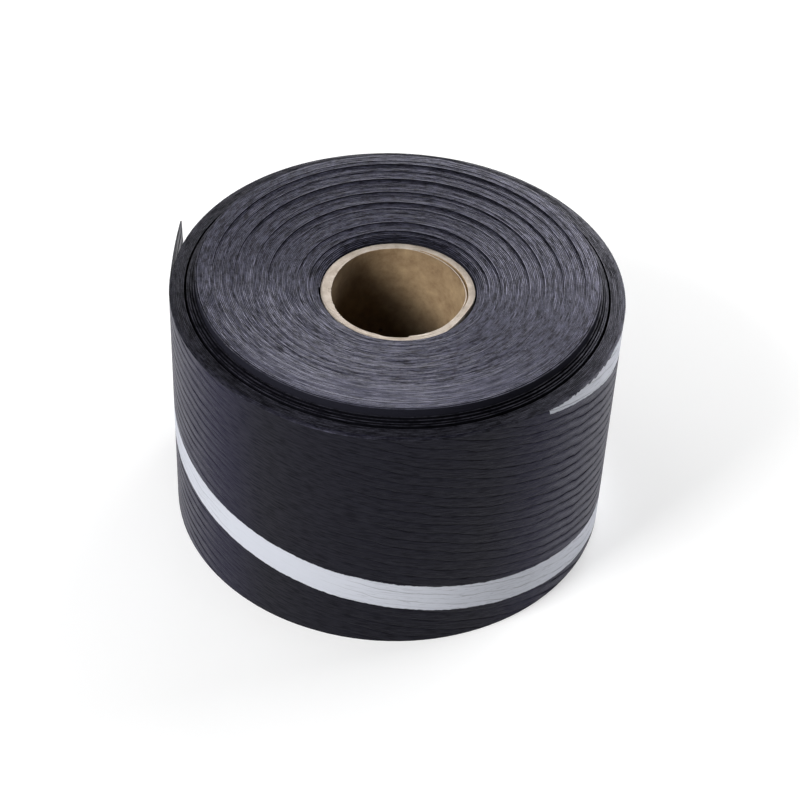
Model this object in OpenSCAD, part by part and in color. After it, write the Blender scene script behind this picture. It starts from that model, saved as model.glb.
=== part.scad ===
// Roll of damp proof course: a strip of polythene film wound on a cardboard
// tube and stood on its end. The turns are not quite level with one another,
// so both ends of the roll show them as rings, and the middle ones stand proud.

/* [Film] */
// Width of the strip, which is the height of the roll stood on its end
film_w = 100; // [70:1:150]
// Thickness of the film
film_t = 0.5; // [0.4:0.05:0.9]

/* [Winding] */
// Number of turns on the core
turns = 86; // [45:1:110]
// Air trapped between one turn and the next
turn_gap = 0.12; // [0.1:0.01:0.3]
// Depth to which that gap shows as a seam on each end
seam_depth = 0.8; // [0.3:0.1:1.5]
// How far neighbouring turns stand out of line with each other
stagger_h = 0.15; // [0:0.05:0.3]

/* [Crown] */
// How far the proudest turn stands above the level outer ones
crown_h = 5.5; // [0:0.1:10]
// How far the first turn has sunk below them, at the upper end only
core_dip = 2.4; // [0:0.1:4]
// Turns counted in from the outside to the proudest one
crown_from_outside = 14; // [13:1:24]
// Steps in which the turns climb from the first one to the proudest one
climb_steps = 7; // [1:1:10]
// Part of the climb that is an even slope and not steps
climb_slope = 0.25; // [0:0.05:1]
// Sheer drop just outside the proudest turn
crest_drop = 2.6; // [0:0.1:5]

/* [Slack] */
// Outer turns that have slipped level and sit outside the slack gap
flush_turns = 8; // [3:1:12]
// Width of the slack gap between those turns and the rest
slack_w = 0.8; // [0.2:0.1:3]
// Depth to which the slack gap shows on each end
slack_depth = 5; // [2:0.5:12]

/* [Loose end] */
// Direction in which the free end leaves the roll, from +X towards +Y
tail_azimuth = 182; // [0:1:359]
// Length of film that stands off the roll
tail_len = 34; // [10:1:60]
// Curl radius that the free end has kept
tail_curl_r = 250; // [100:5:400]
// Angle at which the free end lifts off
tail_lift = 3; // [2:0.5:8]
// How far the free end has ridden up above the last turn
tail_rise = 0.3; // [0.2:0.1:2]

/* [Core] */
// Bore of the cardboard tube
core_bore_d = 50; // [38:1:76]
// Wall of the cardboard tube
core_wall = 3; // [2:0.5:8]
// How far the tube stops short of the outer turns' upper edge
core_short = 3; // [0:0.5:20]
// Clearance between the tube and the first turn
core_gap = 0.2; // [0.1:0.05:0.5]

/* [Hidden] */
$fn = 180;

core_r = core_bore_d / 2 + core_wall;
core_len = film_w - core_short;
wound_bore_r = core_r + core_gap;
turn_pitch = film_t + turn_gap;
last_turn = turns - 1;
slack_turn = turns - flush_turns;
crown_turn = turns - crown_from_outside;
wound_r = turn_r(last_turn) + film_t;
stagger_step = 137.5; // degrees, so that no two near turns share a phase
tail_root = film_t / 2; // how deep in the last turn the free end is cut back to
tail_angle = tail_len / tail_curl_r * 180 / PI;
overshoot = 1; // how far a cut runs past the faces that it opens

// Inner radius of a turn, counted from the core
function turn_r(i) = wound_bore_r + i * turn_pitch + (i >= slack_turn ? slack_w : 0);

// Climb from the core to the crown, from 0 to 1: a flight of steps on a slope
function climb(i) =
    let (x = climb_steps * i / crown_turn)
    ((1 - climb_slope) * floor(x + 0.5) + climb_slope * x) / climb_steps;

// Rise of a turn before its stagger: up to the crown, then down to the gap
function crown_rise(i) =
    i <= crown_turn
        ? (core_dip + crown_h) * climb(i) - core_dip
        : (crown_h - crest_drop) * (slack_turn - i) / (slack_turn - crown_turn);

// Height of a turn's upper edge above the level ones, which lie outside the gap
function top_rise(i) =
    i >= slack_turn ? 0 : crown_rise(i) + stagger_h * sin(stagger_step * i);

// Height of a turn's lower edge: the roll stands on those that would be below 0
function rise(i) = max(0, top_rise(i));

// Foot of the seam beyond turn i: a point in a plain seam, two in the slack gap
function seam(i, z) =
    let (from_r = turn_r(i) + film_t, to_r = turn_r(i + 1))
    i + 1 == slack_turn
        ? [[from_r + turn_gap / 2, z], [to_r - turn_gap / 2, z]]
        : [[(from_r + to_r) / 2, z]];

function seam_drop(i) = i + 1 == slack_turn ? slack_depth : seam_depth;

// Flat edge of turn i, from its inner corner to its outer one
function edge(i, z) = [[turn_r(i), z], [turn_r(i) + film_t, z]];

bottom_end = [
    for (i = [0 : last_turn])
        each concat(
            edge(i, rise(i)),
            i < last_turn ? seam(i, max(rise(i), rise(i + 1)) + seam_drop(i)) : []
        )
];
top_end = [
    for (i = [0 : last_turn])
        each concat(
            edge(i, film_w + top_rise(i)),
            i < last_turn
                ? seam(i, film_w + min(top_rise(i), top_rise(i + 1)) - seam_drop(i)) : []
        )
];

function reversed(points) = [for (k = [len(points) - 1 : -1 : 0]) points[k]];

// All the turns as one turned solid, open at the core
module wound_turns() {
    rotate_extrude()
        polygon(concat(bottom_end, reversed(top_end)));
}

// Film of full width, curled from a start point on the roll and running off it
module free_film() {
    translate([wound_r - film_t, 0, tail_rise])
        rotate([0, 0, tail_lift])
            translate([-tail_curl_r, 0, 0])
                rotate([0, 0, -tail_angle])
                    rotate_extrude(angle = tail_angle)
                        translate([tail_curl_r - film_t, 0])
                            square([film_t, film_w]);
}

// The free end, cut back so that its root stays within the last turn
module loose_end() {
    rotate([0, 0, tail_azimuth])
        difference() {
            free_film();
            translate([0, 0, tail_rise - overshoot])
                cylinder(h = film_w + 2 * overshoot, r = wound_r - tail_root);
        }
}

module membrane_roll() {
    color("#34353b") {
        wound_turns();
        loose_end();
    }
}

// Cardboard tube that the strip is wound on, standing inside the first turn
module core_tube() {
    color("#b39a7d")
        difference() {
            cylinder(h = core_len, r = core_r);
            translate([0, 0, -overshoot])
                cylinder(h = core_len + 2 * overshoot, d = core_bore_d);
        }
}

membrane_roll();
core_tube();
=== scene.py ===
# %% [markdown]
# # A roll of damp proof course
# Damp proof course is a strip of black polythene that is bedded in a wall to stop
# rising damp. The strip is 100 mm wide, has fine ribs rolled into both faces, and is
# wound about 86 times round a cardboard tube. Two pieces are made here: the wound
# film, as one real spiral with a loose end, and the tube. Both stand exactly where
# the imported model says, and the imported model's own nodes are then hidden.

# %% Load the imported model
import math

import bmesh
import bpy
import numpy as np
from mathutils import Matrix, Vector


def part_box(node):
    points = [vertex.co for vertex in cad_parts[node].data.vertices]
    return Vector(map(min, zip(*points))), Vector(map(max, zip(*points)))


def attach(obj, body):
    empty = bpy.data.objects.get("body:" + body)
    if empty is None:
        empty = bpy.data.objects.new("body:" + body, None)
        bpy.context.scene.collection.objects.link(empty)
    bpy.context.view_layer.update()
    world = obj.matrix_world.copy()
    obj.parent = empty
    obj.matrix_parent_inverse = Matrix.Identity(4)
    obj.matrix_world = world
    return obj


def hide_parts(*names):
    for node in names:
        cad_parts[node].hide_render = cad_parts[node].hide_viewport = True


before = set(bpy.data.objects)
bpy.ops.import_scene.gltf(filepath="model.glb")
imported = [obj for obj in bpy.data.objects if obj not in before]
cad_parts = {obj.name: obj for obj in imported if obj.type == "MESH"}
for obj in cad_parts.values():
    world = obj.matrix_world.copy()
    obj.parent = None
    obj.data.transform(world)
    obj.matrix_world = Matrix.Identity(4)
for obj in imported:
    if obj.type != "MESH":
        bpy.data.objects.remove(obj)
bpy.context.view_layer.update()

# %% [markdown]
# Blender works in metres and film is thought of in millimetres, so every size below
# is a number times MM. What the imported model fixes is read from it: the tube's size,
# and the wound film's bore and outside radius. The number of turns and the film's
# thickness are stated, and the pitch of the winding follows from them.

# %% Sizes of the roll
MM = 0.001
FILM_W = 100 * MM       # width of the strip
FILM_T = 0.5 * MM       # thickness of the strip
TURNS = 86
SLACK = {73: 0.15, 74: 0.2, 75: 0.25, 76: 0.2, 78: 0.75}    # turn: extra room inside it, mm
FLUSH_TURN = 78         # from this turn out, the turns lie level again

_, film_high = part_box("membrane_roll")
_, tube_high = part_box("core_tube")
film_verts = np.array([v.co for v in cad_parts["membrane_roll"].data.vertices])
tube_verts = np.array([v.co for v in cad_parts["core_tube"].data.vertices])
bore_r = np.hypot(film_verts[:, 0], film_verts[:, 1]).min()
outer_r = film_high.x
tube_r = tube_high.x
tube_bore_r = np.hypot(tube_verts[:, 0], tube_verts[:, 1]).min()
tube_len = tube_high.z
pitch = (outer_r - FILM_T - sum(SLACK.values()) * MM - bore_r) / TURNS
print(f"bore {bore_r / MM:.2f} mm, outside {outer_r / MM:.2f} mm, pitch {pitch / MM:.4f} mm a turn")

# %% [markdown]
# Colours are written as a paint chart writes them, in sRGB hex. Shaders want linear
# light, and one function turns the first into the second. A second small function
# adds a node: it sets the node's properties, and fills each input with a number, a
# colour or a link. A node given as an input stands for that node's first output.

# %% Helpers for colours and nodes
def linear(chip):
    """The linear colour of an sRGB hex value such as #808080."""
    parts = [int(chip[i:i + 2], 16) / 255 for i in (1, 3, 5)]
    return [p / 12.92 if p <= 0.04045 else ((p + 0.055) / 1.055) ** 2.4 for p in parts] + [1]


def add_node(tree, kind, inputs=None, **settings):
    """A new shader node with its settings made, and its inputs filled or linked."""
    node = tree.nodes.new("ShaderNode" + kind)
    for name, value in settings.items():
        setattr(node, name, value)
    for name, value in (inputs or {}).items():
        if isinstance(value, bpy.types.Node):
            value = value.outputs[0]
        if isinstance(value, bpy.types.NodeSocket):
            tree.links.new(value, node.inputs[name])
        else:
            node.inputs[name].default_value = value
    return node


def new_material(name):
    """An empty node material, and its tree."""
    material = bpy.data.materials.new(name)
    material.use_nodes = True
    material.node_tree.nodes.clear()
    return material, material.node_tree


print("mid grey is", round(linear("#808080")[0], 3), "in linear light")

# %% [markdown]
# The camera stands in front of the roll and looks down at it, so that the wound end
# and the wall both show. Four things place it: its distance, its height as an angle,
# how far it is tipped to one side, and the point that it aims at.

# %% Camera
CAMERA_DISTANCE = 779.1 * MM
CAMERA_HEIGHT_ANGLE = math.radians(42.01)
CAMERA_TIP = math.radians(2.945)
CAMERA_LENS = 92.73     # mm, on a sensor 36 mm wide
AIM = Vector((2.72 * MM, 0, 44.07 * MM))

camera = bpy.data.objects.new("camera", bpy.data.cameras.new("camera"))
camera.data.lens = CAMERA_LENS
camera.data.sensor_width = 36
backwards = Vector((0, -math.cos(CAMERA_HEIGHT_ANGLE), math.sin(CAMERA_HEIGHT_ANGLE)))
turned = backwards.to_track_quat("Z", "Y").to_matrix().to_4x4() @ Matrix.Rotation(CAMERA_TIP, 4, "Z")
camera.matrix_world = Matrix.Translation(AIM + backwards * CAMERA_DISTANCE) @ turned
bpy.context.scene.collection.objects.link(camera)
bpy.context.scene.camera = camera
print("camera at, mm:", [round(c / MM, 1) for c in camera.matrix_world.translation])

# %% [markdown]
# ## The winding
# The strip could be drawn as rings inside one another, but a real one is a single
# spiral, and its end has to leave the roll somewhere. So the film is described once,
# by columns: a column is a cut straight across the strip, and each turn has 120. For
# every column the arrays below hold its turn, the direction it faces (0 is the front,
# a quarter turn is the right), its radius and the length of film wound so far. A
# slack gap is a short stretch where the radius grows faster, put at the back, where
# the proud turns hide it. The wide one is inside turn 78.

# %% Columns of the spiral
PER_TURN = 120
TAIL_COLUMNS = 10
FILM_END = math.radians(-88)    # direction in which the last turn ends
FRONT_PART = -FILM_END / math.tau       # part of a turn from the front to the film's end
BACK_PART = (FRONT_PART + 0.5) % 1

last = TURNS * PER_TURN
turn = np.arange(last + 1) / PER_TURN
direction = FILM_END + math.tau * (TURNS - turn)


def smooth(x):
    """x, held between 0 and 1, and eased at both."""
    x = np.clip(x, 0, 1)
    return x * x * (3 - 2 * x)


def eased(start, run):
    """0 before a turn count, 1 a run of turns later, and a smooth rise between."""
    return smooth((turn - start) / run)


SLACK_RUN = 0.2
radius = bore_r + pitch * turn
for slack_turn, room in SLACK.items():
    radius = radius + room * MM * eased(slack_turn - BACK_PART - SLACK_RUN / 2, SLACK_RUN)
wound = math.tau * (bore_r * turn + pitch * turn ** 2 / 2)
print(f"{last} columns, {wound[-1]:.1f} m of film on the roll")

# %% [markdown]
# The film wandered sideways as it was wound. It starts low against the tube and
# climbs to the proudest turn at an even slope, with a few quick steps on the way.
# There it rounds over, drops sheer, and comes down to the level outer turns. A step
# happens over part of a turn at the front, and reads as one clean ring from there on.
# The film also wanders a little all the time, by smooth random offsets.

# %% How far each turn stands proud
CROWN_TURN = 72
STEP_RUN = 0.35
START_H = -2.4 * MM
START_TURNS = 4
STEPS = {6: 0.38, 13: 0.4, 25: 0.08, 30: 0.45, 39: 0.38, 50: 0.45, 57: 0.1,
         63: 0.4}       # turn: height in mm
CLIMB_H = 4.1 * MM
ROUND_TURNS = 4
ROUND_H = 0.4 * MM
DROP_H = 2.4 * MM
FALL_TURNS = 5

random = np.random.default_rng(1973)


def wander(spacing, amount):
    """Smooth random offsets along the film, with a new random value at every spacing."""
    knots = random.uniform(-amount, amount, int(wound[-1] / spacing) + 2)
    place = wound / spacing
    knot = place.astype(int)
    x = smooth(place - knot)
    return knots[knot] * (1 - x) + knots[knot + 1] * x


rise = START_H * (1 - 0.5 * np.clip(turn / START_TURNS, 0, 1))
rise = rise + CLIMB_H * np.clip((turn - START_TURNS) / (CROWN_TURN - START_TURNS), 0, 1)
for step_turn, step_h in STEPS.items():
    rise = rise + step_h * MM * eased(step_turn + 1 - FRONT_PART - STEP_RUN / 2, STEP_RUN)
crown_h = rise.max()
rise = rise - ROUND_H * np.clip((turn - CROWN_TURN - 1 + ROUND_TURNS) / ROUND_TURNS, 0, 1) ** 2
rise = rise - DROP_H * eased(CROWN_TURN + 2 - BACK_PART, SLACK_RUN)
falling = np.clip((turn - CROWN_TURN - 1) / FALL_TURNS, 0, 1)
rise = rise - (crown_h - DROP_H) * falling
flush = eased(FLUSH_TURN - BACK_PART, SLACK_RUN)
drift = wander(420 * MM, 0.07 * MM) + wander(90 * MM, 0.04 * MM)
rise = rise * (1 - flush) + drift * (1 - 0.5 * flush)
print(f"proudest turn {rise.max() / MM:.2f} mm above the level ones")

# %% [markdown]
# Each column has three points at either end: the inner and outer corners of the cut
# edge, and the foot of the seam between this turn and the next. The edge tilts this
# way and that along its length. The outer turns have rounded shoulders, which catch a
# line of light. The bottom end copies the top, but no turn hangs below the floor.

# %% Ends of the columns
SEAM_DEPTH = 0.45 * MM
SLACK_DEPTH = 5 * MM
TILT = 0.05 * MM
SHOULDER = 0.35 * MM
SHOULDER_TURNS = 3.5
TOP_LIMIT = film_high.z - 0.01 * MM

tilt = wander(14 * MM, TILT)
shoulder = SHOULDER * np.clip((turn - (TURNS - SHOULDER_TURNS)) / SHOULDER_TURNS, 0, 1) ** 2
top = {
    "inner": np.minimum(FILM_W + rise + tilt - shoulder, TOP_LIMIT),
    "outer": np.minimum(FILM_W + rise - tilt - 1.6 * shoulder, TOP_LIMIT),
}
bottom = {
    "inner": np.maximum(rise - tilt, 0),
    "outer": np.maximum(rise + tilt, 0),
}

seams = last - PER_TURN + 1      # columns that have another turn outside them
gap = radius[PER_TURN:] - radius[:seams] - FILM_T
extra = (gap - gap.min()) / (gap.max() - gap.min())
depth = SEAM_DEPTH + (SLACK_DEPTH - SEAM_DEPTH) * extra
seam_top = np.minimum(top["outer"][:seams], top["inner"][PER_TURN:]) - depth
seam_bottom = np.maximum(bottom["outer"][:seams], bottom["inner"][PER_TURN:]) + depth
print(f"air between turns {gap.min() / MM:.3f} to {gap.max() / MM:.3f} mm")

# %% [markdown]
# ## The loose end
# The last 34 mm of film has sprung off the roll. It leaves along the tangent, lifts a
# little, and keeps a slacker curl than the roll has. Its upper corner is flared
# outward more than its lower one. The path is walked in equal strides.

# %% Path of the loose end
TAIL_LEN = 34 * MM
TAIL_CURL_R = 230 * MM
TAIL_LIFT = math.radians(1.5)
FLARE = 1.3 * MM

stride = TAIL_LEN / TAIL_COLUMNS
tail_point = [Vector((math.sin(FILM_END), -math.cos(FILM_END))) * radius[-1]]
tail_out = [Vector((math.sin(FILM_END), -math.cos(FILM_END)))]
for k in range(1, TAIL_COLUMNS + 1):
    lift = TAIL_LIFT * min(1, 3 * k / TAIL_COLUMNS)
    heading = FILM_END - (k - 0.5) * stride / TAIL_CURL_R + lift
    along = Vector((-math.cos(heading), -math.sin(heading)))
    tail_point.append(tail_point[-1] + along * stride)
    tail_out.append(Vector((math.sin(heading), -math.cos(heading))))
tail_end_r = tail_point[-1].length
print(f"loose end stands {(tail_end_r - radius[-1]) / MM:.1f} mm off the roll")

# %% [markdown]
# A point of a column lies some way out from the film's inner face: along the radius
# on the roll, and square to the path on the loose end. The flare is added there, and
# grows towards the tip and the top.

# %% Places on the floor plan
inner_x = np.concatenate([radius * np.sin(direction), [p.x for p in tail_point[1:]]])
inner_y = np.concatenate([-radius * np.cos(direction), [p.y for p in tail_point[1:]]])
out_x = np.concatenate([np.sin(direction), [o.x for o in tail_out[1:]]])
out_y = np.concatenate([-np.cos(direction), [o.y for o in tail_out[1:]]])
total = last + TAIL_COLUMNS
tail_part = np.clip((np.arange(total + 1) - last) / TAIL_COLUMNS, 0, 1)


def place(column, out, z):
    """The x and y of points on columns, at a distance out from the film's inner face."""
    high = np.clip(z / FILM_W, 0, 1)
    out = out + FLARE * tail_part[column] ** 2 * (high ** 2 - 0.6)
    return inner_x[column] + out_x[column] * out, inner_y[column] + out_y[column] * out


TAIL_RISE = 0.25 * MM


def along_tail(heights):
    """Heights of a corner along the roll, carried on along the loose end."""
    extra = np.linspace(0, TAIL_RISE, TAIL_COLUMNS + 1)[1:]
    return np.concatenate([heights, heights[-1] + extra])


print("columns in all:", total + 1)

# %% [markdown]
# Now the columns become points. One class collects points and faces, and hands back
# the number of each point that it is given. Its zip method joins two neighbouring
# columns whose points don't match one to one. It climbs both at once, always
# advancing the side whose next point comes first, and makes a four-sided face where
# both come together.

# %% A collector of points and faces
class Skin:
    def __init__(self):
        self.columns, self.points, self.faces, self.kinds = [], [], [], []

    def add(self, column, out, z):
        """Adds points on columns of the film, and returns their numbers."""
        first = len(self.points)
        x, y = place(column, out, z)
        self.points.extend(np.column_stack([x, y, z]).tolist())
        self.columns.extend(column.tolist())
        return np.arange(first, len(self.points))

    def face(self, corners, kind):
        self.faces.append([int(c) for c in corners])
        self.kinds.append(kind)

    def strip(self, a, b, kind):
        """Four-sided faces between two rows of points of equal length."""
        for corners in np.column_stack([a[:-1], a[1:], b[1:], b[:-1]]).tolist():
            self.face(corners, kind)

    def zip(self, left, right, kind):
        """Faces between two columns, each a list of (height, point) from the bottom up."""
        i = j = 0
        while i < len(left) - 1 or j < len(right) - 1:
            next_left = left[i + 1][0] if i < len(left) - 1 else math.inf
            next_right = right[j + 1][0] if j < len(right) - 1 else math.inf
            both = next_left == next_right and i < len(left) - 1 and j < len(right) - 1
            if both:
                self.face((left[i][1], right[j][1], right[j + 1][1], left[i + 1][1]), kind)
                i, j = i + 1, j + 1
            elif next_left <= next_right and i < len(left) - 1:
                self.face((left[i][1], right[j][1], left[i + 1][1]), kind)
                i += 1
            else:
                self.face((left[i][1], right[j][1], right[j + 1][1]), kind)
                j += 1


print("collector ready")

# %% [markdown]
# The two wound ends come first: for each of them the cut edge of the film all the way
# along, and the two sides of the seam between one turn and the next.

# %% Wound ends
CUT, FACE = 0, 1
film = Skin()
columns = np.arange(total + 1)
corner = {}
for end, heights, foot in (("top", top, seam_top), ("bottom", bottom, seam_bottom)):
    for side, out in (("inner", 0), ("outer", FILM_T)):
        corner[end, side] = film.add(columns, out, along_tail(heights[side]))
    corner[end, "seam"] = film.add(columns[:seams], FILM_T + gap / 2, foot)
    film.strip(corner[end, "inner"], corner[end, "outer"], CUT)
    film.strip(corner[end, "outer"][:seams], corner[end, "seam"], FACE)
    film.strip(corner[end, "seam"], corner[end, "inner"][PER_TURN:last + 1], FACE)
first_turn = slice(0, PER_TURN + 1)
film.strip(corner["top", "inner"][first_turn], corner["bottom", "inner"][first_turn], FACE)
print(len(film.faces), "faces on the wound ends and in the bore")

# %% [markdown]
# ## The wall
# The last turn's outer face carries the ribs. They run round the roll but also down
# it, about 0.3 mm for every degree, because the strip was slit from a wider sheet at
# a slant. Level rows of points would cut each rib into steps. So the rows slant as
# the ribs do, ten to a rib, with the deepest of a groove at every tenth. Where a
# slanted row runs off the top or bottom edge, zip closes the corner.

# %% Ribbed wall
RIB_SPACING = 4.47 * MM
ROWS_PER_RIB = 10
RIB_FALL = 0.31 * MM            # drop for each degree round the roll
RIB_FALL_SWING = 0.09 * MM      # how much that grows on the right and shrinks on the left
GROOVE = [0.10, 0.05, 0.015, 0, 0, 0, 0, 0, 0.01, 0.03]      # mm below the face, by row

row_h = RIB_SPACING / ROWS_PER_RIB
edge_clear = 0.2 * row_h        # no row comes nearer to a corner than this
facing = FILM_END + math.tau * (last - columns) / PER_TURN


def rib_fall(turned):
    """How far a rib has come down at a direction, in metres."""
    return RIB_FALL * np.degrees(turned) - np.degrees(RIB_FALL_SWING) * np.cos(turned)


WORN_DEPTH = 0.12       # part of a groove's depth that is left where it is most worn
WORN_FROM, WORN_TO = -38, -20   # the directions between which it is, in degrees
LEFT_DEPTH, LEFT_RUN = 0.8, 14  # how much comes back to the left of that, over how many degrees
RIGHT_RUN = 26                  # degrees over which it all comes back to the right


def groove_part(turned):
    """How much of the grooves is left at a direction: least on the rubbed front left."""
    turned = np.degrees(turned)
    left = LEFT_DEPTH * smooth((WORN_FROM - turned) / LEFT_RUN)
    return WORN_DEPTH + (1 - WORN_DEPTH) * np.maximum(smooth((turned - WORN_TO) / RIGHT_RUN), left)


def wall_column(column):
    """(row, point) pairs up the outer face of one column, from corner to corner."""
    low, high = corner["bottom", "outer"][column], corner["top", "outer"][column]
    shift = -rib_fall(facing[column])
    first = math.ceil((film.points[low][2] + edge_clear - shift) / row_h)
    stop = math.ceil((film.points[high][2] - edge_clear - shift) / row_h)
    rows = np.arange(first, stop)
    cut_back = np.array(GROOVE)[rows % ROWS_PER_RIB] * MM * groove_part(facing[column])
    numbers = film.add(np.full(len(rows), column), FILM_T - cut_back, rows * row_h + shift)
    return [(-math.inf, low), *zip(rows.tolist(), numbers.tolist()), (math.inf, high)]


wall = [wall_column(c) for c in range(last - PER_TURN, total + 1)]
for left, right in zip(wall[:-1], wall[1:]):
    film.zip(left, right, FACE)
print(len(wall), "columns and", sum(len(w) for w in wall), "points on the wall")

# %% [markdown]
# What is left is the loose end's inner face, its cut end, and the two places where
# the spiral starts and stops. Zip and one many-sided face close the skin, and the film
# is then one watertight solid.

# %% Inner face of the loose end, and the closing faces
TAIL_ROWS = 20


def by_height(pairs):
    """The same points, keyed by their height."""
    return [(round(film.points[number][2], 7), number) for _, number in pairs]


def tail_inner(column):
    """(row, point) pairs up the inner face of one column of the loose end."""
    low, high = corner["bottom", "inner"][column], corner["top", "inner"][column]
    z = np.linspace(film.points[low][2], film.points[high][2], TAIL_ROWS + 1)[1:-1]
    numbers = film.add(np.full(len(z), column), 0, z)
    return [(0, low), *zip(range(1, TAIL_ROWS), numbers.tolist()), (TAIL_ROWS, high)]


inside = [tail_inner(c) for c in range(last, total + 1)]
tail_inside = [number for pairs in inside for _, number in pairs[1:-1]]
for left, right in zip(inside[:-1], inside[1:]):
    film.zip(left, right, FACE)
film.zip(by_height(inside[-1]), by_height(wall[-1]), CUT)

last_seam = by_height([(0, corner["bottom", "seam"][-1]), (0, corner["top", "seam"][-1])])
film.zip(by_height(wall[0]), last_seam, FACE)
film.zip(last_seam, by_height(inside[0]), FACE)
start_top = [corner["top", side][0] for side in ("inner", "outer", "seam")]
start_bottom = [corner["bottom", side][0] for side in ("seam", "outer", "inner")]
next_turn = [corner[end, "inner"][PER_TURN] for end in ("top", "bottom")]
film.face([*start_top, *next_turn, *start_bottom], FACE)
print(len(film.faces), "faces in all")

# %% [markdown]
# ## The printed line
# A pale line, 12 mm wide, is printed along the strip at a slant, so it comes down
# round the roll and starts again at the top. Ink has no thickness worth modelling, so
# each point of the film stores how far it lies from the middle of the nearest line,
# and the material inks what is within 6 mm. The line is bare, with no words in it. The
# upper one starts bluntly at the right and bulges up there, and the lower one has a
# small step at the front.

# %% Distance to the printed line
LINES = ((24.7, 0.228), (109.3, 0.236))     # height at the front in mm, fall in mm a degree
DRIFT = (34, 70, 3.2)   # the upper line bulges up between these degrees, by this many mm
UPPER_START = 38.3      # degrees; the upper line starts bluntly here
STEP_AT, STEP_MM = -9.4, 0.35   # the lower line lies this much lower to the left of here
INK_HALF_W = 6.05       # mm
NO_LINE = 20            # mm; far enough off the ink to be bare

film_points = np.array(film.points)
film_columns = np.array(film.columns)
degrees = np.degrees(facing[film_columns])
z_mm = film_points[:, 2] / MM
bulge_start, bulge_end, bulge_h = DRIFT
bulge_part = np.clip((degrees - bulge_start) / (bulge_end - bulge_start), 0, 1)
offsets = [z_mm - (height - fall * degrees) for height, fall in LINES]
offsets[1] = offsets[1] - bulge_h * (1 - bulge_part ** 2) - NO_LINE * (degrees < UPPER_START)
offsets[0] = offsets[0] + STEP_MM * (degrees < STEP_AT)
line_offset = np.abs(offsets).min(axis=0)
print("inked points:", int((line_offset < INK_HALF_W).sum()))

# %% [markdown]
# The materials also read where on the strip a point is, in millimetres: how far
# along it, how far up, and how far from the roll's middle. Hands have worn the face
# near the front, and it is fresh elsewhere.

# %% Place on the strip, and wear
WEAR_MIDDLE = -3        # degrees; hands have worn the face evenly to either side of this,
WORN_PART = 41          # and dulled it this far,
GLANCING_BLUE_FROM = 26          # and from here on it is painted bluer, for its glancing sheen
TAIL_FRESH = 4          # no hand has touched the inside of the loose end

stride_mm = stride / MM * np.arange(1, TAIL_COLUMNS + 1)
along_mm = np.concatenate([wound / MM, wound[-1] / MM + stride_mm])[film_columns]
out_mm = np.hypot(film_points[:, 0], film_points[:, 1]) / MM
film_place = np.column_stack([along_mm, z_mm, out_mm])
rib_phase = (film_points[:, 2] + rib_fall(facing[film_columns])) / RIB_SPACING
from_wear = np.abs(degrees - WEAR_MIDDLE)
to_side, to_front = np.sin(np.radians(degrees)), np.cos(np.radians(degrees))
behind = np.clip(-to_front, 0, 1)
fresh = smooth((from_wear - WORN_PART) / 16)
fresh[tail_inside] = TAIL_FRESH
# Painted reflection: the sides are tinted blue for their glancing sheen, less so behind.
glancing_blue = smooth((from_wear - GLANCING_BLUE_FROM) / 20) * (1 - 0.6 * behind)
grooved = groove_part(facing[film_columns])
print(f"{(fresh < 0.5).mean():.0%} of the points are on worn film")

# %% [markdown]
# Each turn's cut edge has been pushed over. The proud turns lean away from one side,
# less so near the tube at the back. The turns outside the gap lean inward at the
# back, and outward at the front and the right. The front of the crest is marked for a
# painted highlight.

# %% Lean of the cut edges
GAP_R = 73              # mm; the proud turns lie inside this radius
PUSH = 0.15             # how far the proud turns' edges have been pushed over, rise over run,
PUSH_FROM = -35         # and from which direction in degrees
PUSH_BACK = 0.02        # how far they stand the other way where nothing has pushed them
OUTER_PUSH = 0.2        # the same for the outer turns
HIGHLIGHT_FROM = 56          # mm; the painted highlight lies on the proud turns outside this radius

proud = np.clip(GAP_R - out_mm, 0, 1)
outward = np.clip((out_mm - 36) / 40, 0, 1)     # 0 near the tube, 1 at the crest
push = PUSH * np.cos(np.radians(degrees - PUSH_FROM)) * (1 - behind * (1 - outward)) - PUSH_BACK
# Where the front of the crest gets a painted highlight.
crest_highlight = np.clip((out_mm - HIGHLIGHT_FROM) / 8, 0, 1) * proud * smooth((to_front - 0.5) / 0.5)
outer_push = OUTER_PUSH * (0.8 * behind - 0.6 * np.clip(to_side, 0, 1) * (1 - to_front)
                           - 1.9 * np.clip(to_front, 0, 1) ** 6)
edge_lean = proud * push + (1 - proud) * outer_push
across_cut = np.zeros(len(film_points))         # 0 at the inner corner, 1 at the outer
for end in ("top", "bottom"):
    across_cut[corner[end, "outer"]] = 1
print(f"cut edges lean {edge_lean.min():.2f} to {edge_lean.max():.2f}, rise over run")

# %% [markdown]
# Blender can work out which way is outward for a closed skin, so no care was needed
# over the order of corners. Edges sharper than 30 degrees stay sharp, and the rest
# are shaded smooth.

# %% Make the film
def build(name, points, faces):
    """A mesh object with its faces turned outward, smooth but for its sharp edges."""
    mesh = bpy.data.meshes.new(name)
    mesh.from_pydata(points, [], faces)
    skin = bmesh.new()
    skin.from_mesh(mesh)
    bmesh.ops.recalc_face_normals(skin, faces=skin.faces)
    skin.to_mesh(mesh)
    open_edges = sum(1 for e in skin.edges if len(e.link_faces) != 2)
    skin.free()
    mesh.shade_smooth()
    mesh.set_sharp_from_angle(angle=math.radians(30))
    piece = bpy.data.objects.new(name, mesh)
    bpy.context.scene.collection.objects.link(piece)
    print(name, len(mesh.polygons), "faces,", open_edges, "open edges")
    return piece


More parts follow.
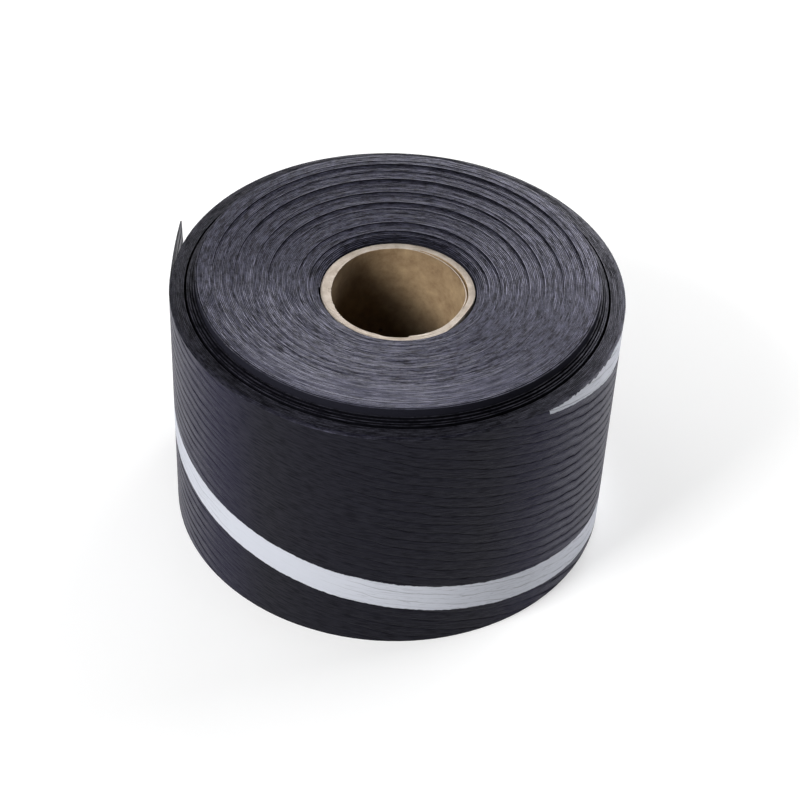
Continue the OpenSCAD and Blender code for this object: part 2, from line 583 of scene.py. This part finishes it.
wound_film = build("wound_film", film.points, film.faces)
print("triangles:", sum(len(p.vertices) - 2 for p in wound_film.data.polygons))
attributes = wound_film.data.attributes
attributes.new("film_place", "FLOAT_VECTOR", "POINT").data.foreach_set("vector", film_place.ravel())
for name, values in {"line_offset": line_offset, "rib_phase": rib_phase, "across_cut": across_cut,
                     "fresh": fresh, "grooved": grooved, "glancing_blue": glancing_blue, "crest_highlight": crest_highlight,
                     "edge_lean": edge_lean}.items():
    attributes.new(name, "FLOAT", "POINT").data.foreach_set("value", values)
wound_film.data.polygons.foreach_set("material_index", film.kinds)

# %% [markdown]
# ## The cardboard tube
# The tube is wound from seven plies of kraft board and cut to length with a knife, so
# its rim shows the plies as rings, each at its own height, with a fine gap between
# them. It is a lathe form: one profile, repeated at 240 directions, that changes as
# it goes round. The innermost ply is torn at the front, worn at the front left, frayed
# on the left and loose at the back right. The rim is dented at the front right.

# %% Wear round the rim
TUBE_COLUMNS = 240
PLIES = 7

ply_t = (tube_r - tube_bore_r) / PLIES
around = np.arange(TUBE_COLUMNS) * math.tau / TUBE_COLUMNS      # 0 is the front


def ring_noise(low, high, amount):
    """Smooth noise round a ring, from waves that fit in it low to high times."""
    waves = np.arange(low, high + 1)
    sizes = random.uniform(-1, 1, len(waves))
    phases = random.uniform(0, math.tau, len(waves))
    values = (sizes[:, None] * np.sin(waves[:, None] * around + phases[:, None])).sum(0)
    return amount * values / np.abs(values).max()


def bump(centre, half_width, steep=1.0):
    """1 at a direction in degrees, falling smoothly to 0 at half a width on either side."""
    away = (np.degrees(around) - centre + 180) % 360 - 180
    away = np.where(away > 0, away * steep, away) / half_width
    return np.clip(1 - away ** 2, 0, 1) ** 2


torn = 1.5 * MM * bump(8, 26, steep=8.0)
loose = bump(118, 64)
frayed = bump(-95, 55)
shreds = 0.8 * MM * frayed * np.clip(3 * np.abs(ring_noise(40, 90, 1)), 0, 1)
worn = bump(-25, 45)
dent = 1.3 * MM * bump(62, 30)
print(f"plies {ply_t / MM:.2f} mm thick")

# %% [markdown]
# The profile starts at the foot of the tube's outside, climbs to the rim, crosses the
# plies one by one, and goes down the bore. Smooth ring noise moves each ply.

# %% Profile of the tube
RIM_DROP = 0.15 * MM    # so far below the full length is the rim, to leave room for its noise
PLY_GAP_DEPTH = 0.25 * MM
SPLIT_DEPTH = 1.2 * MM  # how deep the gap is behind the loose ply
BEVEL, BEVEL_H = 0.05 * MM, 0.04 * MM
INNER_ROWS = 40

profile = []        # (radius, height) arrays round the ring, from the outside in
profile.append((np.full(TUBE_COLUMNS, tube_r), np.zeros(TUBE_COLUMNS)))
profile.append((np.full(TUBE_COLUMNS, tube_r), np.full(TUBE_COLUMNS, 0.8 * tube_len)))
for ply in range(PLIES):
    outside = tube_r - ply * ply_t
    edge_h = tube_len - RIM_DROP + ring_noise(2, 9, 0.1 * MM) + ring_noise(12, 40, 0.05 * MM)
    inner_part = max(0, (ply - PLIES + 3) / 2)      # 0 but for the two innermost plies
    edge_h = edge_h - torn * min(1, inner_part * 1.5)
    pull = dent * (1 - 0.6 * ply / PLIES)
    if ply == PLIES - 1:
        edge_h = edge_h - 0.25 * MM * loose
        pull = pull + MM * (0.85 * loose + 1.1 * frayed - 0.4 * worn)
    inside = outside - ply_t - pull
    if ply == PLIES - 1:
        inside = inside + shreds
        edge_h = edge_h - shreds
    profile += [(outside - pull - BEVEL, edge_h - BEVEL_H), (outside - pull - ply_t / 2, edge_h),
                (inside + BEVEL, edge_h - BEVEL_H)]
    if ply < PLIES - 1:
        split = SPLIT_DEPTH * loose if ply == PLIES - 2 else 0
        profile.append((inside, edge_h - PLY_GAP_DEPTH - split))
for row in range(1, INNER_ROWS + 1):
    down = tube_len * (1 - row / INNER_ROWS)
    warp = ring_noise(2, 6, 0.05 * MM)
    profile.append((tube_bore_r + warp, np.full(TUBE_COLUMNS, down)))
print("rows in the profile:", len(profile))

# %% [markdown]
# Neighbouring rows make four-sided faces, and the last row joins the first. The rim
# is cut board. The rest is the brown liner, and so are the sides of the gap where the
# loose ply has split off.

# %% Make the tube
lathe_r, lathe_z = np.array(profile).transpose(1, 0, 2)
tube_points = np.stack([lathe_r * np.sin(around), -lathe_r * np.cos(around), lathe_z], axis=2)
rows, ring = len(profile), np.arange(TUBE_COLUMNS)
tube_faces = []
for row in range(rows):
    here, above = row * TUBE_COLUMNS, (row + 1) % rows * TUBE_COLUMNS
    beside = (ring + 1) % TUBE_COLUMNS
    tube_faces += np.column_stack([here + ring, here + beside, above + beside, above + ring]).tolist()
board_tube = build("board_tube", tube_points.reshape(-1, 3).tolist(), tube_faces)
split_rows = (4 * PLIES - 4, 4 * PLIES - 3)     # either side of the innermost gap
cut = [[0 < row < rows - INNER_ROWS - 1 and not (row in split_rows and loose[k] > 0.25) for k in ring]
       for row in range(rows)]
tube_kinds = np.where(np.ravel(cut), 0, 1)      # cut board, or the brown liner
board_tube.data.polygons.foreach_set("material_index", tube_kinds)
print("faces of cut board:", int((tube_kinds == 0).sum()))

# %% [markdown]
# ## Materials
# ### Black polythene, calendered and embossed
# The film is low-density polythene with recycled content, and carbon black keeps its
# body colour near black. It is rolled hot between steel rollers, which press the ribs
# in and leave a satin skin: a very dark grey with a broad, soft sheen that turns pale
# at a glancing angle. The sheen's brightness needs no paint, because a dielectric's
# own Fresnel term gives it. The grooves are wavy, and nearly gone at the front left,
# where hands have rubbed the face dull. Round the sides it is fresher and shinier,
# and painted bluer, for the blue of its glancing sheen. The first step is a number
# that is 1 on the floor of a groove and 0 off it.

# %% Embossed face
POLYTHENE_TINT = [0.68, 0.66, 1.0, 1]
SWAY_MM = 14            # length of a groove's waves
SWAY = 0.16             # how far they swing, as part of the spacing

face_material, tree = new_material("embossed_polythene")
on_strip = add_node(tree, "Attribute", attribute_name="film_place").outputs["Vector"]
along, across, from_axis = add_node(tree, "SeparateXYZ", {0: on_strip}).outputs
rib_at, line_at, fresh_at, grooved_at, glancing_blue_at = [
    add_node(tree, "Attribute", attribute_name=name).outputs["Fac"]
    for name in ("rib_phase", "line_offset", "fresh", "grooved", "glancing_blue")]
swaying = add_node(tree, "TexNoise", {"Vector": on_strip, "Scale": 1 / SWAY_MM, "Detail": 2})
sway = add_node(tree, "MapRange", {"Value": swaying, "From Min": 0.3, "From Max": 0.7,
                                   "To Min": -SWAY, "To Max": SWAY})
phase = add_node(tree, "Math", {0: rib_at, 1: sway}, operation="ADD")


def groove_lines(phase, half_width, most):
    """How far off the nearest whole phase is, and a line there, most at its middle."""
    away = add_node(tree, "Math", {0: phase, 1: 0.5}, operation="PINGPONG")
    line = add_node(tree, "MapRange", {"Value": away, "From Max": half_width, "To Min": most, "To Max": 0},
                    interpolation_type="SMOOTHSTEP")
    return away, line


from_rib, rib_line = groove_lines(phase, 0.06, 1)
half_phase = add_node(tree, "Math", {0: phase, 1: 0.5}, operation="ADD")
_, half_line = groove_lines(half_phase, 0.04, 0.5)
lines = add_node(tree, "Math", {0: rib_line, 1: half_line}, operation="MAXIMUM")
print("grooves", RIB_SPACING / MM, "mm apart")

# %% [markdown]
# A second set of ribs crosses the first at a few degrees, in patches, and the grooves
# are broken. Between them are fine strokes, 5 mm long, from the grinding of the steel
# roller. All this is too shallow for geometry, so it is bump.

# %% Crossing ribs, breaks and strokes
CROSS_SLANT = 0.13      # rise of the crossing ribs for each mm of film
PATCH_MM = 22
BREAK_MM = (11, 2.5)    # along the strip, and across it
STROKE_MM = (5, 0.7)

slant = add_node(tree, "Math", {0: along, 1: -CROSS_SLANT, 2: across}, operation="MULTIPLY_ADD")
cross_phase = add_node(tree, "Math", {0: slant, 1: RIB_SPACING / MM}, operation="DIVIDE")
_, cross_line = groove_lines(cross_phase, 0.05, 0.5)
patchy = add_node(tree, "TexNoise", {"Vector": on_strip, "Scale": 1 / PATCH_MM, "Detail": 2})
cross_seen = add_node(tree, "MapRange", {"Value": patchy, "From Min": 0.42, "From Max": 0.6})
cross_soft = add_node(tree, "Math", {0: cross_line, 1: cross_seen}, operation="MULTIPLY")
long_scale = (1 / BREAK_MM[0], 1 / BREAK_MM[1], 0)
long_place = add_node(tree, "VectorMath", {0: on_strip, 1: long_scale}, operation="MULTIPLY")
breaks = add_node(tree, "TexNoise", {"Vector": long_place, "Scale": 1, "Detail": 2})
whole = add_node(tree, "MapRange", {"Value": breaks, "From Min": 0.38, "From Max": 0.5, "To Min": 0.3})
broken = add_node(tree, "Math", {0: lines, 1: whole}, operation="MULTIPLY")
both_sets = add_node(tree, "Math", {0: broken, 1: cross_soft}, operation="MAXIMUM")
short_place = add_node(tree, "CombineXYZ", {0: along, 1: slant})
short_scale = (1 / STROKE_MM[0], 1 / STROKE_MM[1], 0)
stretch = add_node(tree, "VectorMath", {0: short_place, 1: short_scale}, operation="MULTIPLY")
hatch = add_node(tree, "TexNoise", {"Vector": stretch, "Scale": 1, "Detail": 3, "Roughness": 0.6})
strokes = add_node(tree, "MapRange", {"Value": hatch, "From Min": 0.56, "From Max": 0.7, "To Max": 0.7})
with_strokes = add_node(tree, "Math", {0: both_sets, 1: strokes}, operation="MAXIMUM")
all_lines = add_node(tree, "Math", {0: with_strokes, 1: grooved_at}, operation="MULTIPLY")
print("strokes", *STROKE_MM, "mm")

# %% [markdown]
# The printed line is a pale grey ink laid over the ribs by a felt roller. It misses
# the floor of each groove and its edge wavers by a fraction of a millimetre. It stops
# short of the film's edge, which turns away from the roller.

# %% Ink
RAGGED_MM = 2.2         # size of the nicks along the ink's edge
INK_TOP = 100.3         # mm; no ink above this height, give or take the nicks

ragged = add_node(tree, "TexNoise", {"Vector": on_strip, "Scale": 1 / RAGGED_MM, "Detail": 2})
waver = add_node(tree, "Math", {0: ragged, 1: 0.9, 2: -0.45}, operation="MULTIPLY_ADD")
edge = add_node(tree, "Math", {0: line_at, 1: waver}, operation="ADD")
inked = add_node(tree, "MapRange", {"Value": edge, "From Min": INK_HALF_W - 0.12,
                                    "From Max": INK_HALF_W + 0.12, "To Min": 1, "To Max": 0})
missed = add_node(tree, "Math", {0: all_lines, 1: -0.45, 2: 1}, operation="MULTIPLY_ADD")
chipped = add_node(tree, "Math", {0: ragged, 1: 4, 2: across}, operation="MULTIPLY_ADD")
margin = add_node(tree, "MapRange", {"Value": chipped, "From Min": INK_TOP - 0.2, "From Max": INK_TOP + 0.2,
                                     "To Min": 1, "To Max": 0})
on_face = add_node(tree, "Math", {0: inked, 1: margin}, operation="MULTIPLY")
ink = add_node(tree, "Math", {0: on_face, 1: missed}, operation="MULTIPLY")
print(f"ink {2 * INK_HALF_W:.1f} mm wide")

# %% [markdown]
# The body colour is near black and uneven. Out in the open at the sides it is painted
# bluish, for the blue of its glancing sheen. A groove is darker. The seam and riser
# faces of the proud turns near the top end are painted grey, as painted light that
# lifts their shade. The ink goes over all of these.

# %% Colour of the face
DUST_MM = 9
OPEN_R = 80             # mm; the face is in the open beyond this, and in a seam inside it
PAINTED_LIGHT_FROM = 96          # mm; faces of the proud turns above this get painted light

dusty = add_node(tree, "TexNoise", {"Vector": on_strip, "Scale": 1 / DUST_MM, "Detail": 4})
black = add_node(tree, "Mix", {0: dusty, 6: linear("#0a0a0e"), 7: linear("#15151b")}, data_type="RGBA")
open_part = add_node(tree, "MapRange", {"Value": from_axis, "From Min": OPEN_R, "From Max": OPEN_R + 1})
# Painted reflection: a blue tint at the sides out in the open, for the glancing sheen.
glancing_blue_part = add_node(tree, "Math", {0: glancing_blue_at, 1: open_part}, operation="MULTIPLY")
glancing_tinted = add_node(tree, "Mix", {0: glancing_blue_part, 6: black.outputs[2], 7: linear("#131127")}, data_type="RGBA")
groove_dark = add_node(tree, "Mix", {0: all_lines, 6: glancing_tinted.outputs[2], 7: linear("#030304")},
                     data_type="RGBA")
# Painted light: the seam and riser faces of the proud turns near the top end are greyed, to lift the shade
# in them.
inner_turn = add_node(tree, "Math", {0: from_axis, 1: GAP_R}, operation="LESS_THAN")
near_end = add_node(tree, "MapRange", {"Value": across, "From Min": PAINTED_LIGHT_FROM, "From Max": PAINTED_LIGHT_FROM + 1})
painted_light_part = add_node(tree, "Math", {0: inner_turn, 1: near_end}, operation="MULTIPLY")
riser_light = add_node(tree, "Mix", {0: painted_light_part, 6: groove_dark.outputs[2], 7: linear("#24242c")},
                  data_type="RGBA")
face_colour = add_node(tree, "Mix", {0: ink, 6: riser_light.outputs[2], 7: linear("#ced1da")}, data_type="RGBA")
print("embossed face has", len(tree.nodes), "nodes so far")

# %% [markdown]
# The grooves and strokes are a tenth of a millimetre deep. The ink is duller than the
# film. The shine is greatest on the crests of fresh ribs, and it flickers with the
# strokes. A groove is too deep to shine, and so is a seam between two turns.

# %% Relief and shine of the face
hatch_h = add_node(tree, "Math", {0: hatch, 1: 0.09}, operation="MULTIPLY")
relief = add_node(tree, "Math", {0: all_lines, 1: -0.1, 2: hatch_h}, operation="MULTIPLY_ADD")
face_bump = add_node(tree, "Bump", {"Height": relief, "Distance": MM, "Strength": 1})
film_rough = add_node(tree, "MapRange", {"Value": dusty, "To Min": 0.34, "To Max": 0.5})
face_rough = add_node(tree, "Mix", {0: ink, 2: film_rough, 3: 0.6})
dull_shine = add_node(tree, "Math", {0: all_lines, 1: -0.1, 2: 0.13}, operation="MULTIPLY_ADD")
crest = add_node(tree, "MapRange", {"Value": from_rib, "From Max": 0.5,
                                    "To Min": -0.07, "To Max": 0.25}, interpolation_type="SMOOTHSTEP")
glints = add_node(tree, "MapRange", {"Value": hatch, "From Min": 0.35, "From Max": 0.65,
                                     "To Min": 0.45, "To Max": 1.55})
with_crests = add_node(tree, "Math", {0: crest, 1: fresh_at, 2: dull_shine}, operation="MULTIPLY_ADD")
outdoors = add_node(tree, "Math", {0: glints, 1: open_part}, operation="MULTIPLY")
shine = add_node(tree, "Math", {0: with_crests, 1: outdoors}, operation="MULTIPLY")
face_shader = add_node(tree, "BsdfPrincipled", {
    "Base Color": face_colour.outputs[2], "Roughness": face_rough, "IOR": 1.51,
    "Specular IOR Level": shine, "Specular Tint": POLYTHENE_TINT, "Normal": face_bump})
add_node(tree, "OutputMaterial", {"Surface": face_shader})
print("embossed face has", len(tree.nodes), "nodes")

# %% [markdown]
# ### The slit edge
# A rotary knife slits the film, and the cut edge is nothing like the face: it is a
# bare, satin cut that mirrors the bright backdrop behind the roll. The ribs run out
# through the edge at a slant, so every few millimetres it leans in or out. Where it
# leans towards the backdrop it shines, and elsewhere it stays black, and that makes
# a wound end glitter in short dashes, each turn with its own. The lean is a bump whose
# height grows across the cut from the inner corner to the outer one. The lean from
# being pushed over is added to it.

# %% Slit edge
LEAN = 0.32             # steepest lean, as rise over run
LEAN_MM = 9             # length of film over which the lean changes
GRAIN_MM = 0.6          # grain of the cut itself

edge_material, tree = new_material("slit_polythene")
on_strip = add_node(tree, "Attribute", attribute_name="film_place").outputs["Vector"]
along, across, from_axis = add_node(tree, "SeparateXYZ", {0: on_strip}).outputs
lean_at, across_at, crest_highlight_at = [
    add_node(tree, "Attribute", attribute_name=name).outputs["Fac"]
    for name in ("edge_lean", "across_cut", "crest_highlight")]
short = add_node(tree, "TexNoise", {"W": along, "Scale": 1 / LEAN_MM, "Detail": 2.5,
                                    "Roughness": 0.65}, noise_dimensions="1D")
either_way = add_node(tree, "Math", {0: short, 1: 2 * LEAN, 2: -LEAN}, operation="MULTIPLY_ADD")
lean = add_node(tree, "Math", {0: either_way, 1: lean_at}, operation="ADD")
from_inside = add_node(tree, "Math", {0: across_at, 1: FILM_T / MM}, operation="MULTIPLY")
lean_h = add_node(tree, "Math", {0: from_inside, 1: lean}, operation="MULTIPLY")
scuff = add_node(tree, "TexNoise", {"Vector": on_strip, "Scale": 1 / GRAIN_MM, "Detail": 2})
edge_h = add_node(tree, "Math", {0: scuff, 1: 0.06, 2: lean_h}, operation="MULTIPLY_ADD")
edge_bump = add_node(tree, "Bump", {"Height": edge_h, "Distance": MM, "Strength": 1})
print("slit edge leans up to", LEAN, "either way")

# %% [markdown]
# The cut is also scuffed in dashes of its own, some pale and shiny, some dark and
# dull. The proud turns are greyer than the turns outside the gap. The front of the
# crest is painted paler still, as a painted highlight.

# %% Colour and shine of the slit edge
SCUFF_MM = 7
ELSEWHERE = 700.0       # mm along the film, so that scuffs and leans don't fall together

further = add_node(tree, "Math", {0: along, 1: ELSEWHERE}, operation="ADD")
scuffed = add_node(tree, "TexNoise", {"W": further, "Scale": 1 / SCUFF_MM, "Detail": 3,
                                      "Roughness": 0.7}, noise_dimensions="1D")
dash = add_node(tree, "MapRange", {"Value": scuffed, "From Min": 0.36, "From Max": 0.64})
proud_tone = add_node(tree, "Mix", {0: dash, 6: linear("#3a3a47"), 7: linear("#0b0b10")}, data_type="RGBA")
level_tone = add_node(tree, "Mix", {0: dash, 6: linear("#29292e"), 7: linear("#0f0f12")}, data_type="RGBA")
level = add_node(tree, "MapRange", {"Value": from_axis, "From Min": GAP_R - 1, "From Max": GAP_R})
edge_colour = add_node(tree, "Mix", {0: level, 6: proud_tone.outputs[2], 7: level_tone.outputs[2]},
                       data_type="RGBA")
# Painted highlight: the front of the crest is mixed towards a pale grey.
highlight_part = add_node(tree, "Math", {0: crest_highlight_at, 1: 0.45}, operation="MULTIPLY")
highlighted = add_node(tree, "Mix", {0: highlight_part, 6: edge_colour.outputs[2], 7: linear("#5a5a68")},
                   data_type="RGBA")
most_shine = add_node(tree, "MapRange", {"Value": level, "To Min": 0.5, "To Max": 0.26})
in_dash = add_node(tree, "MapRange", {"Value": dash, "To Min": 1.4, "To Max": 0.6})
edge_shine = add_node(tree, "Math", {0: most_shine, 1: in_dash}, operation="MULTIPLY")
edge_shader = add_node(tree, "BsdfPrincipled", {
    "Base Color": highlighted.outputs[2], "Roughness": 0.45, "IOR": 1.51,
    "Specular IOR Level": edge_shine, "Specular Tint": POLYTHENE_TINT, "Normal": edge_bump})
add_node(tree, "OutputMaterial", {"Surface": edge_shader})
wound_film.data.materials.append(edge_material)
wound_film.data.materials.append(face_material)
print("slit edge has", len(tree.nodes), "nodes")

# %% [markdown]
# ### Kraft board
# The tube is wound from grey-brown kraft board, made from long unbleached fibres and
# recycled pulp. The liner inside the bore is smooth brown paper, mottled where the
# glue soaked through, with a few dark specks. It is painted darker low down, on the
# left and at the front, for the shadow inside the bore. The cut rim is the pulp
# itself, paler and pinker, dead matt and fibrous, and painted darker at the back, for
# the shadow that the proud turns cast on it.

# %% Kraft liner and cut rim
BLOTCH_MM = 6           # also the spacing of the specks
SHADE_RUN = 14           # mm over which the painted shade comes in


def board(name, dark, light, fibre_mm, relief_mm, shade_side, shade_from, shade_amount):
    """Matt board between two colours, blotched, specked and fibrous, with painted shade on one side."""
    material, tree = new_material(name)
    place = add_node(tree, "TexCoord")
    mm = add_node(tree, "VectorMath", {0: place.outputs["Object"], "Scale": 1 / MM}, operation="SCALE")
    blotch = add_node(tree, "TexNoise", {"Vector": mm, "Scale": 1 / BLOTCH_MM, "Detail": 5,
                                         "Roughness": 0.7})
    tone = add_node(tree, "MapRange", {"Value": blotch, "From Min": 0.3, "From Max": 0.7})
    colour = add_node(tree, "Mix", {0: tone, 6: linear(dark), 7: linear(light)}, data_type="RGBA")
    dots = add_node(tree, "TexVoronoi", {"Vector": mm, "Scale": 1 / BLOTCH_MM})
    lot = add_node(tree, "SeparateXYZ", {0: dots.outputs["Color"]})
    speck_r = add_node(tree, "MapRange", {"Value": lot, "From Min": 0.7, "To Max": 0.15})
    speck = add_node(tree, "Math", {0: dots.outputs["Distance"], 1: speck_r}, operation="LESS_THAN")
    specked = add_node(tree, "Mix", {0: speck, 6: colour.outputs[2], 7: linear("#6a5038")}, data_type="RGBA")
    # Painted shade: a dark brown comes in on one side, where shadow falls on the tube.
    side = add_node(tree, "VectorMath", {0: mm, 1: shade_side}, operation="DOT_PRODUCT")
    shade_part = add_node(tree, "MapRange", {"Value": side.outputs["Value"], "From Min": shade_from,
                                       "From Max": shade_from + SHADE_RUN, "To Max": shade_amount})
    shaded = add_node(tree, "Mix", {0: shade_part, 6: specked.outputs[2], 7: linear("#2c2620")}, data_type="RGBA")
    fibre = add_node(tree, "TexNoise", {"Vector": mm, "Scale": 1 / fibre_mm, "Detail": 4})
    fibre_h = add_node(tree, "Math", {0: fibre, 1: relief_mm}, operation="MULTIPLY")
    rough = add_node(tree, "Bump", {"Height": fibre_h, "Distance": MM, "Strength": 1})
    shader = add_node(tree, "BsdfPrincipled", {
        "Base Color": shaded.outputs[2], "Roughness": 0.85, "Specular IOR Level": 0.2, "Normal": rough})
    add_node(tree, "OutputMaterial", {"Surface": shader})
    return material


# The rim gets painted shade at the back, where the proud turns shadow it, and the liner gets painted shadow
# low down, on the left and at the front of the bore.
cut_board = board("cut_board", "#b3a596", "#dfd4c9", 0.7, 0.12, (0, 1, 0), 12, 0.27)
kraft_liner = board("kraft_liner", "#8e7559", "#b89f7c", 0.5, 0.05, (-0.7, -0.24, -0.68), -67, 0.68)
board_tube.data.materials.append(cut_board)
board_tube.data.materials.append(kraft_liner)
print("board materials:", [m.name for m in board_tube.data.materials])

# %% [markdown]
# ## The studio
# The floor is pale and matt. The surroundings light the roll softly from all sides.
# To the camera and in reflections they are plain white near the floor, as a paper
# sweep is, and darken overhead, as the room above it does. The floor is lifted the
# same way: a little near the roll, so that it keeps its shadow, and to white farther
# off, so that its edge doesn't show.

# %% Floor and surroundings
FLOOR_SIZE = 1.6
FLOOR_GAP = 0.05 * MM
FLOOR_LIFT = 0.3
SURROUND = 0.04
OVERHEAD = 0.12         # how bright the room above the sweep looks in a reflection
WHITE_FROM, WHITE_TO = 0.45, 0.75       # m from the roll over which the floor turns white
WHITE = [1, 1, 1, 1]

floor_mesh = bpy.data.meshes.new("floor")
half = FLOOR_SIZE / 2
floor_mesh.from_pydata([(-half, -half, -FLOOR_GAP), (half, -half, -FLOOR_GAP),
                        (half, half, -FLOOR_GAP), (-half, half, -FLOOR_GAP)], [], [(0, 1, 2, 3)])
floor = bpy.data.objects.new("floor", floor_mesh)
bpy.context.scene.collection.objects.link(floor)


def seen_directly(tree):
    """1 for rays from the camera, from reflections and through glass, and else 0."""
    path = add_node(tree, "LightPath")
    some = add_node(tree, "Math", {0: path.outputs["Is Camera Ray"], 1: path.outputs["Is Glossy Ray"]},
                    operation="MAXIMUM")
    every = add_node(tree, "Math", {0: some, 1: path.outputs["Is Transmission Ray"]}, operation="MAXIMUM")
    return every


floor_material, tree = new_material("pale_floor")
matt = add_node(tree, "BsdfDiffuse", {"Color": linear("#e6e6e6")})
spot = add_node(tree, "TexCoord")
away = add_node(tree, "VectorMath", {0: spot.outputs["Object"]}, operation="LENGTH")
lift_here = add_node(tree, "MapRange", {"Value": away.outputs["Value"], "From Min": WHITE_FROM,
                                        "From Max": WHITE_TO, "To Min": FLOOR_LIFT, "To Max": 1})
lift_by = add_node(tree, "Math", {0: seen_directly(tree), 1: lift_here}, operation="MULTIPLY")
lift = add_node(tree, "Emission", {"Color": WHITE, "Strength": lift_by})
both = add_node(tree, "AddShader", {0: matt, 1: lift})
add_node(tree, "OutputMaterial", {"Surface": both})
floor_mesh.materials.append(floor_material)

world = bpy.data.worlds.new("studio")
bpy.context.scene.world = world
world.use_nodes = True
world.node_tree.nodes.clear()
tree = world.node_tree
soft = add_node(tree, "Background", {"Color": WHITE, "Strength": SURROUND})
looking = add_node(tree, "TexCoord")
looking_xyz = add_node(tree, "SeparateXYZ", {0: looking.outputs["Generated"]})
sweep = add_node(tree, "MapRange", {"Value": looking_xyz.outputs[2], "From Min": 0.35, "From Max": 0.5,
                                    "To Min": 1, "To Max": OVERHEAD}, interpolation_type="SMOOTHSTEP")
white = add_node(tree, "Background", {"Color": WHITE, "Strength": sweep})
around_roll = add_node(tree, "MixShader", {0: seen_directly(tree), 1: soft, 2: white})
add_node(tree, "OutputWorld", {"Surface": around_roll})
print("floor and surroundings made")

# %% [markdown]
# Dark goods are lit by large soft lamps. The key stands at the front left and reaches
# down the bore's right side. Two at the back right light the rim and the proud turns
# from behind. Three weak ones fill in the back, the top left and the front.

# %% Lamps
LAMP_AWAY = 0.95        # m from the roll's top


def softbox(name, around_deg, height_deg, size, power):
    """A lamp that faces the roll's top. 0 degrees is the front."""
    lamp = bpy.data.lights.new(name, "AREA")
    lamp.shape = "RECTANGLE"
    lamp.size, lamp.size_y = size
    lamp.energy = power
    turned, lifted = math.radians(around_deg), math.radians(height_deg)
    towards = Vector((math.sin(turned) * math.cos(lifted), -math.cos(turned) * math.cos(lifted),
                      math.sin(lifted)))
    holder = bpy.data.objects.new(name, lamp)
    place = Matrix.Translation(Vector((0, 0, FILM_W)) + LAMP_AWAY * towards)
    holder.matrix_world = place @ towards.to_track_quat("Z", "Y").to_matrix().to_4x4()
    bpy.context.scene.collection.objects.link(holder)
    return holder


softbox("key", -50, 36, (0.35, 0.35), 8.3)
softbox("back right", 120, 23, (0.5, 0.3), 5.3)
softbox("back", 150, 26, (0.5, 0.3), 3.3)
softbox("back fill", 180, 16, (0.5, 0.3), 1.7)
softbox("top left", -130, 60, (0.5, 0.5), 0.9)
softbox("front fill", 10, 12, (0.5, 0.5), 1.0)

# %% [markdown]
# ## Hand over
# Both pieces ride on the one body that the roll has, and stand in for the imported
# nodes, which are hidden.

# %% Hand over
for piece, node, slot in ((wound_film, "membrane_roll", "polythene_film"),
                          (board_tube, "core_tube", "core_board")):
    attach(piece, "root")
    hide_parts(node)

bpy.context.scene.view_settings.view_transform = "Standard"
